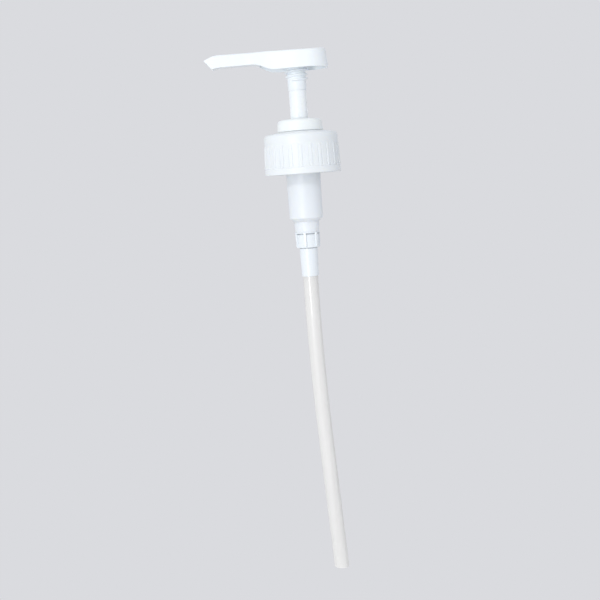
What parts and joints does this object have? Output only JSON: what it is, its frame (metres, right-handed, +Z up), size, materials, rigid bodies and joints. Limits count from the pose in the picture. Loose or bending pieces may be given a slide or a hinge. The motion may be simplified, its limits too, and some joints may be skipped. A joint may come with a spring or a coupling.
{
  "type": "condiment pump dispenser",
  "caption": "Closure-mounted condiment pump: long-spout push head, lock-thread collar, ribbed screw closure, spring-return piston barrel and a translucent dip tube.",
  "frame": {"origin": "on the pump's axis, in the plane of the gasket's underside, where the jug's rim seats", "axes": "+Z up along the pump's axis, through the push head; the spout points along -X"},
  "size_m": [0.0724, 0.043, 0.3007],
  "materials": {
    "head_white": "moulded polypropylene, smooth gloss",
    "stem_white": "moulded polypropylene, smooth gloss",
    "ball_steel": "polished stainless ball",
    "rod_white": "moulded polypropylene",
    "seal_natural": "moulded soft polyethylene",
    "spring_steel": "drawn stainless wire",
    "collar_white": "moulded polypropylene, smooth gloss",
    "guide_white": "moulded polypropylene",
    "seal_rubber": "moulded rubber",
    "barrel_white": "moulded polypropylene, satin gloss",
    "gasket_foam": "foamed polyethylene sheet",
    "closure_white": "moulded polypropylene, satin gloss",
    "inlet_white": "moulded polypropylene, satin gloss",
    "seat_natural": "moulded polypropylene, natural",
    "tube_natural": "extruded natural polyethylene, translucent"
  },
  "bodies": {
    "pump_body": {"housing": "barrel_white", "collar": "collar_white", "stem_guide": "guide_white", "stem_seal": "seal_rubber", "gasket": "gasket_foam", "inlet_valve_body": "inlet_white", "spring_seat": "seat_natural", "dip_tube": "tube_natural", "return_spring": "spring_steel"},
    "closure": {"closure_cap": "closure_white"},
    "piston": {"piston_seal": "seal_natural"},
    "plunger": {"actuator_head": "head_white", "stem": "stem_white", "piston_rod": "rod_white"},
    "outlet_check": {"outlet_ball": "ball_steel"},
    "inlet_check": {"inlet_ball": "ball_steel"}
  },
  "joints": [
    {"name": "pump_stroke", "type": "slide", "parent": "pump_body", "child": "piston", "axis": [0, 0, -1], "range_m": [0, 0.0205], "stiffness_N_per_m": 600, "springref_m": -0.015, "deforming": ["return_spring"]},
    {"name": "head_swivel", "type": "hinge", "parent": "piston", "child": "plunger", "pos_m": [0, 0, 0], "axis": [0, 0, 1], "continuous": true},
    {"name": "closure_turn", "type": "hinge", "parent": "pump_body", "child": "closure", "pos_m": [0, 0, 0], "axis": [0, 0, 1], "continuous": true},
    {"name": "outlet_ball_lift", "type": "slide", "parent": "plunger", "child": "outlet_check", "axis": [0, 0, 1], "range_m": [0, 0.002]},
    {"name": "inlet_ball_lift", "type": "slide", "parent": "pump_body", "child": "inlet_check", "axis": [0, 0, 1], "range_m": [0, 0.0029]}
  ]
}
